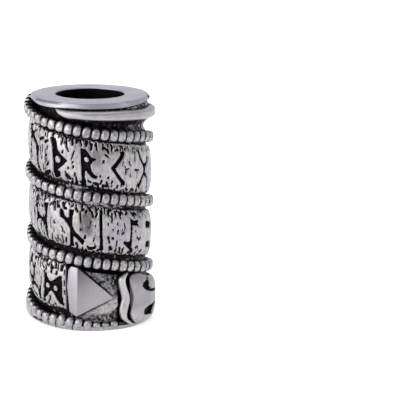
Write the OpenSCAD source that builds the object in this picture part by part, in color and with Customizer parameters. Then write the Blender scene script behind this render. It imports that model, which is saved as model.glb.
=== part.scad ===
// Cast rune bead for hair, beards and cords: a serpent coiled round a bored sleeve.
// Z runs along the bore, the bead stands on z = 0 and its front faces -Y.
// Angles are in degrees round Z from +X. The coil falls as the angle grows, so it is left-handed,
// and an angle over 360 is the same place one turn of the coil further down.

/* [Sleeve] */
// Height of the bead
bead_h = 20; // [19.9:0.05:20.3]
// Diameter of the bore that the hair or cord runs through
bore_d = 6; // [5:0.1:6.4]
// Chamfer of the lip at each mouth of the bore
lip = 0.2; // [0.1:0.05:0.4]
// Diameter of the sunk ground behind the relief
ground_d = 9.4; // [9.2:0.1:9.6]

/* [Rims] */
// Diameter of the flat rim at each end
rim_d = 10.4; // [10:0.1:10.8]
// Thickness of each rim
rim_t = 0.5; // [0.4:0.05:0.7]
// Chamfer of a rim's outer edge
rim_bevel = 0.15; // [0.05:0.05:0.2]

/* [Coil] */
// Fall of the coil in one turn
pitch = 5.75; // [5.7:0.01:5.8]
// Height of the beaded wire's first pass at the front
wire_front_z = 17.8; // [17.75:0.01:17.85]
// Diameter of the beaded wire
wire_d = 0.95; // [0.8:0.05:1]
// Radius of the wire's outermost line
wire_reach = 5.6; // [5.5:0.05:5.7]
// Clear groove on each side of the wire
groove = 0.3; // [0.2:0.05:0.4]
// Radius of the rune band's crown
band_crown = 5.4; // [5.3:0.05:5.5]
// Radius of the rune band's edges
band_edge = 5; // [4.9:0.05:5.1]

/* [Spear point] */
// Radius of the ridge that stands along the blunt end
spear_ridge = 5.75; // [5.6:0.05:5.8]
// Radius of the sharp tip
spear_tip = 5.45; // [5.3:0.05:5.6]
// Radius of the flat bed round the spear point
bed_crown = 5.02; // [4.95:0.01:5.1]

/* [Serpent head] */
// Radius of the head's crown
head_crown = 5.8; // [5.7:0.02:5.84]
// Radius of the head's edges
head_edge = 5.1; // [5:0.02:5.2]
// Radius of the wavy collar's crown
collar_crown = 5.65; // [5.5:0.05:5.7]
// Width of the wavy collar, in degrees round the bead
collar_w = 7.6; // [6:0.2:8]
// From the collar's middle to the head's back edge, in degrees round the bead
head_gap = 8.2; // [7.6:0.2:9]

/* [Hidden] */

steel = [0.74, 0.73, 0.76];
steel_dark = [0.3, 0.3, 0.31];

ring_step = 7.5;
ground_sides = 48;
rim_sides = 72;
root_r = 4.4;
root_share = 0.9;
end_shy = 0.05;
spare = 0.3;

wire_start = 136;
wire_end = 1392;
wire_taper = 24;
wire_thin = 0.35;
wire_sides = 8;

tail_start = -123;
band_start = 142;
band_end = 965;
bed_start = 966.5;
bed_end = 1012;
band_half = pitch / 2 - wire_d / 2 - groove;
band_drop = bead_h - band_z(band_start);
band_span = [-1, -0.94, -0.75, -0.4, 0, 0.4, 0.75, 0.94, 1];
band_bow = 2.4;
edge_min_rise = 0.1;

// The smooth tail, from its tip under the upper rim to where it is a full band.
// Columns: angle, drop of its upper edge from the top face, drop of its lower edge, crown radius.
tail_rows = [
    [tail_start, 0.50, 0.62, 5.30],
    [-110, 0.34, 0.86, 5.58],
    [-90, 0.38, 1.00, 5.72],
    [-30, 0.62, 1.34, 5.74],
    [0, 0.72, 1.55, 5.72],
    [45, 0.80, 2.50, 5.64],
    [90, 0.84, 3.80, 5.54],
    [band_start, band_drop - band_half, band_drop + band_half, band_crown]
];

// Corners of the spear point. Columns: angle, z, radius.
spear_rows = [
    [247.5, 5.85, 5.22],
    [256, 5.75, spear_ridge],
    [291, 3.10, spear_tip],
    [256.5, 1.60, spear_ridge],
    [249.5, 1.45, 5.22]
];

// The wavy collar. The head's back edge repeats its wave.
// Columns: z, angle of its middle, share of its width, share of its crown's height.
wave_rows = [
    [0.15, 308.0, 0.45, 0.5],
    [0.50, 305.4, 0.65, 0.8],
    [0.85, 301.8, 0.85, 1],
    [1.20, 300.0, 0.95, 1],
    [1.60, 299.6, 1, 1],
    [2.00, 300.4, 1, 1],
    [2.40, 301.6, 1, 1],
    [2.80, 302.0, 1, 1],
    [3.20, 301.5, 1, 1],
    [3.60, 300.2, 1, 1],
    [4.00, 298.9, 1, 1],
    [4.40, 298.2, 1, 1],
    [4.70, 298.9, 0.8, 0.9],
    [4.95, 301.0, 0.4, 0.7]
];
wave_mean = 300;
wave_fade = 30;
collar_span = [-1, -0.6, 0, 0.6, 1];

// The head, from its wavy back edge to the snout.
// Columns: angle, upper edge z, lower edge z, share of the crown's height.
head_start = wave_mean + head_gap;
head_rows = [
    [head_start, 4.62, 0.06, 0.3],
    [head_start + 2, 4.74, 0.06, 0.75],
    [head_start + 8, 4.80, 0.06, 1],
    [350, 4.26, 0.06, 1],
    [375, 3.84, 0.30, 1],
    [400, 3.30, 0.80, 0.92],
    [418, 2.90, 1.30, 0.8],
    [426, 2.60, 1.62, 0.35]
];
head_angles = concat([for (a = [0, 2, 5, 8]) head_start + a], [for (a = [322 : 6 : 418]) a], [422, 426]);
head_span = [-1, -0.97, -0.88, -0.7, -0.4, 0, 0.5, 0.8, 0.95, 1];
head_bow_low = 2.2;
head_bow_up = 5;

function lerp(a, b, t) = a + (b - a) * t;
function column(rows, i) = [for (row = rows) [row[0], row[i]]];
function at(a, r, z) = [r * cos(a), r * sin(a), z];
function many_sided(r, n) = [for (i = [0 : n - 1]) let (a = 360 * (i + 0.5) / n) [r * cos(a), r * sin(a)]];

// Heights of the wire and of the band below it, at an angle along the coil.
function wire_z(a) = wire_front_z - pitch * (a - 270) / 360;
function band_z(a) = wire_z(a) - pitch / 2;

// Steps through a range so that no ring is wider than ring_step.
function steps(a, b) = let (n = ceil((b - a) / ring_step)) [for (i = [0 : n]) lerp(a, b, i / n)];

// A height kept just inside the two end faces.
function held(z) = min(bead_h - end_shy, max(end_shy, z));

// A closed solid through rings of equally many points.
module loft(rings) {
    count = len(rings[0]);
    last = len(rings) - 1;
    polyhedron(
        points = [for (ring = rings) each ring],
        faces = [
            [for (i = [count - 1 : -1 : 0]) i],
            for (k = [0 : last - 1], i = [0 : count - 1])
                let (j = (i + 1) % count, a = k * count, b = a + count)
                each [[a + i, a + j, b + j], [a + i, b + j, b + i]],
            [for (i = [0 : count - 1]) last * count + i]
        ]
    );
}

// One ring of a convex band in the radial plane at angle a: up across its crown, down through its root.
function band_ring(a, up, low, crown) =
    let (mid = (up + low) / 2, half = (up - low) / 2, edge = min(band_edge, crown - edge_min_rise))
    [
        for (t = band_span) at(a, lerp(edge, crown, sqrt(1 - pow(abs(t), band_bow))), mid + t * half),
        at(a, root_r, mid + root_share * half),
        at(a, root_r, mid - root_share * half)
    ];

// Rough core of the casting, still solid.
module core() {
    color(steel_dark) linear_extrude(bead_h) polygon(many_sided(ground_d / 2, ground_sides));
}

// Rim at the lower end. Its bevel runs on below z = 0 to where the facing cut takes it.
module rim() {
    color(steel) hull() {
        translate([0, 0, rim_bevel])
            linear_extrude(rim_t - rim_bevel) polygon(many_sided(rim_d / 2, rim_sides));
        translate([0, 0, -spare])
            linear_extrude(end_shy) polygon(many_sided(rim_d / 2 - rim_bevel - spare, rim_sides));
    }
}

// The serpent's body: a plain tail that widens into the band for the runes, then the sunk bed.
module serpent_band() {
    function body_ring(a, crown) = band_ring(a, band_z(a) + band_half, band_z(a) - band_half, crown);
    tail = [
        for (a = steps(tail_start, band_start))
            let (row = [for (i = [1 : 3]) lookup(a, column(tail_rows, i))])
            band_ring(a, bead_h - row[0], bead_h - row[1], row[2])
    ];
    band = [for (a = steps(band_start, band_end)) if (a > band_start) body_ring(a, band_crown)];
    bed = [for (a = steps(bed_start, bed_end)) body_ring(a, bed_crown)];
    color(steel) loft(concat(tail, band, bed));
}

// The beaded wire as one tube. It levels off where it runs into the rims, and its first stretch is thin.
module beaded_wire() {
    centre_r = wire_reach - wire_d / 2;
    function thick(a) = wire_d / 2 * min(1, wire_thin + (a - wire_start) / wire_taper);
    color(steel) loft([
        for (a = steps(wire_start, wire_end)) [
            for (i = [0 : wire_sides - 1])
                let (t = 360 * (i + 0.5) / wire_sides, r = thick(a))
                at(a, centre_r + r * cos(t), held(held(wire_z(a)) + r * sin(t)))
        ]
    ]);
}

// Flat-faced spear point that closes the line of runes.
module spear_point() {
    foot = [for (row = spear_rows) at(row[0], root_r, row[1])];
    top = [for (row = spear_rows) at(row[0], row[2], row[1])];
    color(steel) polyhedron(
        points = concat(foot, top),
        faces = [
            [4, 3, 2, 1, 0],
            [6, 8, 9], [5, 6, 9], [6, 7, 8],
            for (i = [0 : 4]) let (j = (i + 1) % 5) each [[j + 5, i + 5, i], [j, j + 5, i]]
        ]
    );
}

// Narrow wavy collar between the spear point and the head.
module collar() {
    color(steel) loft([
        for (row = wave_rows)
            let (
                z = row[0],
                a = row[1],
                w = row[2] * collar_w / 2,
                crown = lerp(head_edge, collar_crown, row[3])
            )
            [
                for (t = collar_span) at(a - t * w, lerp(head_edge, crown, sqrt(1 - t * t)), z),
                at(a - w, root_r, z),
                at(a + w, root_r, z)
            ]
    ]);
}

// Smooth serpent's head that runs on round the back to its snout.
module serpent_head() {
    function wave_left(a) = max(0, 1 - (a - head_start) / wave_fade);
    function shifted(a, z) = a + (lookup(z, column(wave_rows, 1)) - wave_mean) * wave_left(a);
    function bow(t) = sqrt(1 - pow(abs(t), t < 0 ? head_bow_low : head_bow_up));
    color(steel) loft([
        for (a = head_angles)
            let (
                row = [for (i = [1 : 3]) lookup(a, column(head_rows, i))],
                mid = (row[0] + row[1]) / 2,
                half = (row[0] - row[1]) / 2,
                crown = lerp(head_edge, head_crown, row[2]),
                root_up = mid + root_share * half,
                root_low = mid - root_share * half
            )
            [
                for (t = head_span)
                    let (z = mid + t * half)
                    at(shifted(a, z), lerp(head_edge, crown, bow(t)), z),
                at(shifted(a, root_up), root_r, root_up),
                at(shifted(a, root_low), root_r, root_low)
            ]
    ]);
}

// What turning takes off the rough casting: both end faces, the bore and its lips.
module turned_away() {
    bore_r = bore_d / 2;
    rotate_extrude($fn = 128) polygon([
        [0, -2 * spare],
        [rim_d, -2 * spare],
        [rim_d, 0],
        [bore_r + lip, 0],
        [bore_r, lip],
        [bore_r, bead_h - lip],
        [bore_r + lip, bead_h],
        [rim_d, bead_h],
        [rim_d, bead_h + 2 * spare],
        [0, bead_h + 2 * spare]
    ]);
}

// The whole bead is one casting.
module bead() {
    difference() {
        union() {
            core();
            rim();
            translate([0, 0, bead_h]) mirror([0, 0, 1]) rim();
            serpent_band();
            beaded_wire();
            spear_point();
            collar();
            serpent_head();
        }
        color(steel) turned_away();
    }
}

bead();
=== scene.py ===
import math

import bmesh
import bpy
import numpy as np
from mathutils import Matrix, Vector


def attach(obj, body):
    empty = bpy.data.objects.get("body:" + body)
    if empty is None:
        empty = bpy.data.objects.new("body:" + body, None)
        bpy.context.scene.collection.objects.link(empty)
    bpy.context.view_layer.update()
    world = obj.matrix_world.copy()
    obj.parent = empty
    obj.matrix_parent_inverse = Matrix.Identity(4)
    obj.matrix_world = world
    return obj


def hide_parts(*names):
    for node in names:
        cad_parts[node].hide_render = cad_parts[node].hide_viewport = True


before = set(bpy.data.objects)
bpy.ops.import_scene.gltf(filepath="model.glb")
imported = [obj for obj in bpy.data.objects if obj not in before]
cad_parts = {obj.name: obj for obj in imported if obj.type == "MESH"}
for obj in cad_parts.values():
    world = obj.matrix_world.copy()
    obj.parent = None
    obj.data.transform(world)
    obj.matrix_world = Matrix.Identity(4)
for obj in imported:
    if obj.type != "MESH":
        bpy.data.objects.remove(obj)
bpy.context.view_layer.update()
print("frame loaded")

# All lengths below are in millimetres until a mesh is made. Angles are degrees round Z, the front is 270,
# and an angle over 360 is the same place one turn of the coil further down.
mm = 0.001
camera = {
    "distance": 200, "elevation": 12.25, "lens": 204.07, "sensor": 36, "clip": (0.01, 20),
    "picture": 400, "beadAt": (90.03, 205.18),  # pixels
    "aim": (0, 0, 10),
}


def newObject(name, data):
    made = bpy.data.objects.new(name, data)
    bpy.context.scene.collection.objects.link(made)
    return made


def placeCamera(about):
    lift = math.radians(about["elevation"])
    back = Vector((0, -math.cos(lift), math.sin(lift)))
    focal = about["lens"] / about["sensor"] * about["picture"]
    across, down = (place - about["picture"] / 2 for place in about["beadAt"])
    seen = Vector((across / focal, -down / focal, -1))
    data = bpy.data.cameras.new("camera")
    data.lens, data.sensor_width = about["lens"], about["sensor"]
    data.clip_start, data.clip_end = about["clip"]
    data.dof.use_dof = False
    eye = newObject("camera", data)
    eye.rotation_mode = "QUATERNION"
    eye.location = (Vector(about["aim"]) + back * about["distance"]) * mm
    eye.rotation_quaternion = (-back).to_track_quat("-Z", "Y") @ seen.rotation_difference(Vector((0, 0, -1)))
    bpy.context.scene.camera = eye


placeCamera(camera)
print("camera placed")


# Shapes shared by the pieces.
coil = {"pitch": 5.685, "frontZ": 17.59, "bandBelow": 2.875, "arc": math.radians(5.4)}


def wireZ(angle):
    return coil["frontZ"] - coil["pitch"] * (angle - 270) / 360


def bandZ(angle):
    return wireZ(angle) - coil["bandBelow"]


def polar(angle, radius, z):
    turn = np.radians(angle)
    return np.stack(np.broadcast_arrays(radius * np.cos(turn), radius * np.sin(turn), z), -1)


def soften(x, low, high):
    t = np.clip((x - low) / (high - low), 0, 1)
    return t * t * (3 - 2 * t)


# A smooth curve through measured points.
def flow(x, points, column=1):
    at = np.array([p[0] for p in points], float)
    value = np.array([p[column] for p in points], float)
    slope = np.gradient(value, at)
    i = np.clip(np.searchsorted(at, x) - 1, 0, len(at) - 2)
    step = at[i + 1] - at[i]
    t = np.clip((x - at[i]) / step, 0, 1)
    return (value[i] * (2 * t**3 - 3 * t**2 + 1) + value[i + 1] * (3 * t**2 - 2 * t**3)
            + step * (slope[i] * (t**3 - 2 * t**2 + t) + slope[i + 1] * (t**3 - t**2)))


# Straight lines through measured points.
def straight(x, points):
    return np.interp(x, *zip(*points))


# Values from first to last about a step apart. Scale is the millimetres to one of them.
def evenly(first, last, step, scale=1):
    return np.linspace(first, last, int((last - first) * scale / step) + 1)


# Smooth unevenness between -1 and 1, one hump to a unit.
def ripple(x, y, seed):
    size = 128
    lattice = np.random.RandomState(seed).rand(size, size) * 2 - 1
    i, j = np.floor(x).astype(int), np.floor(y).astype(int)
    u, v = x - i, y - j
    u, v = u * u * (3 - 2 * u), v * v * (3 - 2 * v)
    i, j, k, m = i % size, j % size, (i + 1) % size, (j + 1) % size
    below = lattice[i, j] * (1 - u) + lattice[k, j] * u
    above = lattice[i, m] * (1 - u) + lattice[k, m] * u
    return below * (1 - v) + above * v


# Distance from a line between two points, and how far along it the nearest place is.
def fromLine(x, y, ax, ay, bx, by):
    dx, dy = bx - ax, by - ay
    share = np.clip(((x - ax) * dx + (y - ay) * dy) / (dx * dx + dy * dy), 0, 1)
    return np.hypot(x - ax - share * dx, y - ay - share * dy), share


# How far outside an outline a point is. It is negative inside.
def outsideOutline(x, y, corners):
    inside = np.zeros(x.shape, bool)
    nearest = np.full(x.shape, np.inf)
    for (ax, ay), (bx, by) in zip(corners, corners[1:] + corners[:1]):
        nearest = np.minimum(nearest, fromLine(x, y, ax, ay, bx, by)[0])
        inside ^= ((ay > y) != (by > y)) & (x < ax + (y - ay) * (bx - ax) / ((by - ay) or 1e-9))
    return np.where(inside, -nearest, nearest)


# The same for a stroke along points of (x, y, half width), which tapers between them.
def outsideStroke(x, y, points):
    nearest = np.full(x.shape, np.inf)
    for (ax, ay, aw), (bx, by, bw) in zip(points, points[1:]):
        far, share = fromLine(x, y, ax, ay, bx, by)
        nearest = np.minimum(nearest, far - aw - (bw - aw) * share)
    return nearest


def farOut(v):
    return math.hypot(v.co.x, v.co.y) / mm


def fromBmesh(bm, name, material):
    mesh = bpy.data.meshes.new(name)
    bm.to_mesh(mesh)
    bm.free()
    mesh.materials.append(material)
    return newObject(name, mesh)


def showPiece(bm, name, material):
    piece = fromBmesh(bm, name, material)
    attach(piece, "root")
    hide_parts("bead")
    print(name, len(piece.data.polygons), "faces")


# A closed skin from an unrolled grid. places is (along, across, 3), its last line across meets its first.
def skinPiece(name, places, black, material):
    bm = bmesh.new()
    bmesh.ops.create_grid(bm, x_segments=places.shape[0] - 1, y_segments=places.shape[1] - 1, size=0.5)
    patina = bm.verts.layers.float.new("patina")
    unrolled = bm.loops.layers.uv.new("OFBake")
    wide = max(v.co.x for v in bm.verts)
    share = [(v.co.x / wide / 2 + 0.5, v.co.y / wide / 2 + 0.5) for v in bm.verts]
    bm.verts.index_update()
    for face in bm.faces:
        face.smooth = True
        for loop in face.loops:
            loop[unrolled].uv = [0.005 + 0.99 * s for s in share[loop.vert.index]]
    along, across = places.shape[0] - 1, places.shape[1] - 1
    seam = []
    for v, (s, t) in zip(bm.verts, share):
        i, j = round(s * along), round(t * across)
        v.co = places[i, j] * mm
        v[patina] = black[i, j]
        if j in (0, across):
            seam.append(v)
    bmesh.ops.remove_doubles(bm, verts=seam, dist=1e-8)
    bmesh.ops.holes_fill(bm, edges=[e for e in bm.edges if e.is_boundary], sides=0)
    bmesh.ops.recalc_face_normals(bm, faces=bm.faces)
    showPiece(bm, name, material)


# A relief: a skin whose sections are closed behind its surface with a line inside the sleeve.
def reliefPiece(name, surface, black, material, inner=4.3):
    def sunk(line):
        share = inner / np.hypot(line[..., 0], line[..., 1])[..., None]
        return line * np.concatenate([share, share, np.ones_like(share)], -1)

    middle = sunk(surface.mean(axis=1, keepdims=True))
    places = np.concatenate([middle, sunk(surface[:, :1]), surface, sunk(surface[:, -1:]), middle], 1)
    ends = np.ones((len(black), 2))
    skinPiece(name, places, np.concatenate([ends, black, ends], 1), material)


# Nodes of a material or of the world. A Shade is a socket that can be added to, multiplied and so on.
class Shade:
    def __init__(self, tree, socket=None):
        self.tree, self.socket = tree, socket

    def make(self, kind, settings, inputs, output=0):
        node = self.tree.nodes.new(kind)
        for name, value in settings.items():
            if name == "stops":
                for i, (place, colour) in enumerate(value):
                    stop = node.color_ramp.elements[i] if i < 2 else node.color_ramp.elements.new(place)
                    stop.position, stop.color = place, colour
            else:
                setattr(node, name, value)
        for name, value in inputs.items():
            if isinstance(value, Shade):
                self.tree.links.new(value.socket, node.inputs[name])
            else:
                node.inputs[name].default_value = value
        return Shade(self.tree, node.outputs[output])

    def reckon(self, operation, first, second):
        return self.make("ShaderNodeMath", {"operation": operation}, {0: first, 1: second})

    def __add__(self, other):
        return self.reckon("ADD", self, other)

    def __radd__(self, other):
        return self.reckon("ADD", other, self)

    def __sub__(self, other):
        return self.reckon("SUBTRACT", self, other)

    def __rsub__(self, other):
        return self.reckon("SUBTRACT", other, self)

    def __mul__(self, other):
        return self.reckon("MULTIPLY", self, other)

    def __rmul__(self, other):
        return self.reckon("MULTIPLY", other, self)

    def intoOutput(self, kind):
        self.tree.links.new(self.socket, self.tree.nodes.new(kind).inputs["Surface"])

    def noise(self, place, scale, detail=2):
        return self.make("ShaderNodeTexNoise", {}, {"Vector": place, "Scale": scale, "Detail": detail})

    def between(self, value, low, high):
        return self.make("ShaderNodeMapRange", {"interpolation_type": "SMOOTHSTEP"},
                         {"Value": value, "From Min": low, "From Max": high})

    def blended(self, share, first, second):
        return self.make("ShaderNodeMix", {"data_type": "RGBA"}, {0: share, 6: first, 7: second}, 2)


def cleared(owner):
    owner.use_nodes = True
    owner.node_tree.nodes.clear()
    return Shade(owner.node_tree)


# Steel whose recesses are blackened. The mesh's patina attribute says where, and noise breaks its edge.
def steel(name, about):
    material = bpy.data.materials.new(name)
    start = cleared(material)
    place = start.make("ShaderNodeTexCoord", {}, {}, "Object")
    drawn = start.make("ShaderNodeVectorMath", {"operation": "MULTIPLY"}, {0: place, 1: about["drawn"]})
    patina = start.make("ShaderNodeAttribute", {"attribute_name": "patina"}, {}, "Fac")
    cloud = start.noise(place, about["cloud"])
    grain = start.noise(drawn, about["grain"], 4)
    black = start.between(patina + (grain - 0.5) * about["ragged"], about["blackFrom"], about["blackTo"])
    bright = start.blended(start.between(cloud, *about["clouded"]), about["cool"], about["warm"])
    if "pale" in about:  # painted light: lighter towards the floor
        height = start.make("ShaderNodeSeparateXYZ", {}, {0: place}, 2)
        low = start.between(height, about["paleFrom"] * mm, about["paleTo"] * mm)
        bright = start.blended(low, bright, about["pale"])
    worn = start.blended(start.between(grain, *about["mottled"]) * about["mottle"], bright, about["dull"])
    colour = start.blended(black, worn, about["oxide"])
    rough = about["rough"] + (grain - 0.5) * about["roughSpread"] + black * about["blackRough"]
    bump = start.make("ShaderNodeBump", {}, {
        "Height": grain, "Strength": about["bump"], "Distance": about["grainDeep"] * mm})
    surface = start.make("ShaderNodeBsdfPrincipled", {}, {
        "Base Color": colour, "Metallic": 1.0, "Roughness": rough, "Normal": bump})
    surface.intoOutput("ShaderNodeOutputMaterial")
    return material


# Each look says only what differs from the one it starts with. Scales of noise are per metre.
castLook = {
    "cool": (0.358, 0.347, 0.373, 1), "warm": (0.425, 0.415, 0.412, 1), "dull": (0.215, 0.208, 0.226, 1),
    "oxide": (0.009, 0.008, 0.01, 1), "rough": 0.34, "roughSpread": 0.14, "blackRough": 0.2,
    "cloud": 420, "clouded": (0.38, 0.62), "grain": 4200, "drawn": (1, 1, 0.6), "bump": 0.3, "grainDeep": 0.02,
    "mottle": 0.5, "mottled": (0.56, 0.4), "ragged": 0.4, "blackFrom": 0.3, "blackTo": 0.75,
}
grainLook = {
    **castLook, "cool": (0.40, 0.383, 0.425, 1), "warm": (0.50, 0.487, 0.475, 1), "rough": 0.42,
    "mottle": 0.85, "grain": 5200, "ragged": 0.26, "drawn": (1, 1, 1),
}
tailLook = {
    **castLook, "cool": (0.385, 0.373, 0.392, 1), "warm": (0.425, 0.415, 0.418, 1), "dull": (0.31, 0.301, 0.32, 1),
    "rough": 0.42, "roughSpread": 0.06, "grain": 2200, "ragged": 0.15, "mottle": 0.35, "bump": 0.06,
}
collarLook = {**tailLook, "cool": (0.46, 0.444, 0.47, 1), "warm": (0.52, 0.508, 0.516, 1)}
spearLook = {
    **tailLook, "cool": (0.352, 0.334, 0.367, 1), "warm": (0.388, 0.373, 0.38, 1), "rough": 0.36, "ragged": 0.05,
}
# The head's pale colour is painted light, lighter towards the floor.
headLook = {
    **tailLook, "cool": (0.31, 0.296, 0.33, 1), "warm": (0.345, 0.334, 0.35, 1), "dull": (0.25, 0.242, 0.264, 1),
    "pale": (0.47, 0.455, 0.48, 1), "paleFrom": 2.0, "paleTo": 0.9,
}
rimLook = {
    **tailLook, "cool": (0.408, 0.397, 0.452, 1), "warm": (0.445, 0.439, 0.482, 1), "dull": (0.325, 0.315, 0.35, 1),
    "rough": 0.45, "mottle": 0.7, "grain": 1500, "drawn": (0.16, 1, 1), "bump": 0.05,
}

castSteel = steel("castSteel", castLook)
grainSteel = steel("grainSteel", grainLook)
tailSteel = steel("tailSteel", tailLook)
collarSteel = steel("collarSteel", collarLook)
spearSteel = steel("spearSteel", spearLook)
headSteel = steel("headSteel", headLook)
rimSteel = steel("rimSteel", rimLook)
print("materials made")


# The sleeve: a black core with the bore, and a flat rim at each end. Profiles are radius, z.
# Underside is angle, z, and the shoulder's painted shade is angle, half width, darkness, lowest z, highest z.
sleeve = {
    "steps": 192, "faceted": 30, "boreTo": 3.06, "coreTone": 0.73, "shoulder": 5.05,
    "upperBlack": (19.9, 5.16, 19.5), "lowerBlack": (0.1, 5.15, 0.45),
    "undersideFrom": 4.6, "undersideTop": 19.72, "undersideMean": 19.47, "undersideFade": 0.2,
    "core": [(3.0, 0.3), (4.62, 0.3), (4.62, 19.6), (3.0, 19.6)],
    "upper": [(3.0, 19.6), (3.0, 19.86), (3.03, 19.95), (3.1, 20.0), (4.86, 20.0), (5.0, 19.985), (5.1, 19.93),
              (5.16, 19.85), (5.185, 19.75), (5.185, 19.64), (5.215, 19.57), (5.2, 19.51), (5.12, 19.47),
              (4.7, 19.42), (4.5, 19.42), (4.5, 19.6)],
    "lower": [(3.0, 0.3), (3.0, 0.12), (3.04, 0.04), (3.12, 0.0), (4.86, 0.0), (5.02, 0.03), (5.12, 0.1),
              (5.18, 0.24), (5.18, 0.42), (5.1, 0.52), (4.7, 0.55), (4.5, 0.55), (4.5, 0.3)],
    "underside": [(180, 19.7), (196, 19.66), (204, 19.54), (212, 19.44), (229, 19.39), (240, 19.42), (251, 19.46),
                  (262, 19.44), (279, 19.43), (300, 19.43), (326, 19.54), (345, 19.66), (365, 19.7), (400, 19.65),
                  (450, 19.6), (500, 19.6), (540, 19.7)],
    "streaks": [(223, 32, 0.54, 19.7, 20), (350, 5, 0.9, 19.5, 19.97)],
}


def makeTurned(name, about, profile, material, blackened, finished=None):
    bm = bmesh.new()
    corners = [bm.verts.new((r * mm, 0, z * mm)) for r, z in profile]
    line = [bm.edges.new(pair) for pair in zip(corners, corners[1:] + corners[:1])]
    bmesh.ops.spin(bm, geom=corners + line, cent=(0, 0, 0), axis=(0, 0, 1), angle=2 * math.pi, steps=about["steps"],
                   use_merge=True, use_duplicate=False)
    bmesh.ops.remove_doubles(bm, verts=bm.verts, dist=1e-7)
    bmesh.ops.recalc_face_normals(bm, faces=bm.faces)
    patina = bm.verts.layers.float.new("patina")
    for v in bm.verts:
        v[patina] = blackened(farOut(v), v.co.z / mm)
    for face in bm.faces:
        face.smooth = True
    for edge in bm.edges:
        if edge.calc_face_angle(0) > math.radians(about["faceted"]):
            edge.smooth = False
    if finished:
        finished(bm, about, patina)
    showPiece(bm, name, material)


# The upper rim's underside rises and falls round the bead, and its shoulder has painted shade.
def shapeAndShadeRim(bm, about, patina):
    for v in bm.verts:
        r, z = farOut(v), v.co.z / mm
        angle = (math.degrees(math.atan2(v.co.y, v.co.x)) - 180) % 360 + 180
        # painted shade: a broad dark patch on the left and a thin dark line at the right
        for at, wide, dark, low, high in about["streaks"]:
            if r > about["shoulder"] and low < z < high:
                v[patina] = max(v[patina], dark * float(soften(-abs(angle - at), -wide, -0.4 * wide)))
        if r > about["undersideFrom"] and z < about["undersideTop"]:
            rise = float(flow(np.array(angle), about["underside"])) - about["undersideMean"]
            v.co.z += rise * min(1, (about["undersideTop"] - z) / about["undersideFade"]) * mm


# A rim is black in the bore, and behind its edge. Side is 1 for the upper rim and -1 for the lower.
def rimBlack(about, limits, side):
    bore, reach, edge = limits

    def black(r, z):
        return float((r < about["boreTo"] and side * z < side * bore) or (r < reach and side * z < side * edge))
    return black


makeTurned("sleeve", sleeve, sleeve["core"], castSteel, lambda r, z: sleeve["coreTone"] if r > 4 else 1)
makeTurned("upperRim", sleeve, sleeve["upper"], rimSteel, rimBlack(sleeve, sleeve["upperBlack"], 1), shapeAndShadeRim)
makeTurned("lowerRim", sleeve, sleeve["lower"], rimSteel, rimBlack(sleeve, sleeve["lowerBlack"], -1))


# The serpent's body. It is a smooth tail under the upper rim, then the band that carries the runes.
# Rows of the tail are angle, upper edge z, lower edge z, crown radius. Wider is angle, growth of each half,
# widerBelow is the same for the lower half alone, and lowered is angle, how far the signs sit below the middle.
# CreaseAt is the crease's place and width across the tail, and creased is the angles where it starts, is whole,
# fades and ends.
# Fringe and pits are side, gap, where side is 1 above and -1 below. Worn is first angle, last angle, pits.
# Under is angle, strength of the painted shadow on the upper edge below the wire. Smears are angle, half width,
# amount, side, and dull patches are painted dark reflections: angle, half width, height, half height, amount.
body = {
    "tail": [(-124, 19.42, 19.34, 5.32), (-121, 19.38, 19.0, 5.46), (-115.5, 19.35, 18.72, 5.6),
             (-100, 19.33, 18.54, 5.7), (-81, 19.32, 18.42, 5.73), (-60, 19.29, 18.31, 5.74),
             (-27, 19.12, 18.1, 5.72), (0, 19.03, 17.93, 5.71), (45, 18.95, 17.1, 5.64), (90, 18.9, 15.95, 5.54),
             (142, 18.80, 14.68, 5.4)],
    "tailBow": 3.6, "tailMargin": 0.2, "crease": 0.014, "creaseAt": (0.15, 0.16), "creased": (-82, -62, 20, 80),
    "roughFrom": 60, "bowFades": (10, 110), "ceiling": 19.97,
    "start": 142, "end": 966.7, "cuts": (142, 450, 720, 966.7), "step": 0.047,
    "half": 2.06, "margin": 0.6, "crown": 5.4, "edge": 4.97, "ground": 4.9, "bow": 2.6,
    "bark": 0.045, "fibre": 0.022, "hammer": 0.006, "edgeBark": 0.09, "edgeFibre": 0.06,
    "tone": 0.87, "pitted": 0.36, "smears": [(636, 20, 0.48, 1), (258, 11, 0.4, -1)],
    "runeDepth": 0.32, "runeSoft": 0.055, "markDepth": 0.17, "markSoft": 0.045, "runeLine": 0.13,
    "fringe": ((1, 0.34), (-1, 0.36)), "pits": ((1, 0.9), (-1, 0.55)), "loose": 1.9, "upright": (183, 229, 3.1),
    "worn": [(566, 582, 22), (926, 946, 26)], "onward": 0.4,
    "lowered": [(142, 0.04), (200, 0.06), (215, 0.09), (340, 0.09), (400, 0.05), (560, 0.06), (590, 0.11),
                (612, 0.11), (630, 0.04), (700, 0.03), (900, 0.03), (967, 0.045)],
    "wider": [(285, 0), (300, 0.12), (345, 0.14), (370, 0)],
    "widerBelow": [(900, 0), (922, 0.18), (947, 0.18), (960, 0)],
    "under": [(192, 0), (204, 1), (258, 1), (268, 0), (552, 0), (564, 1), (592, 0.9), (606, 0), (912, 0), (924, 0.9),
              (938, 0.7), (950, 0)],
    "dull": [(626, 9, 0.45, 1.45, 0.56), (276, 6.5, 0.6, 1.05, 0.5)],
}

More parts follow.
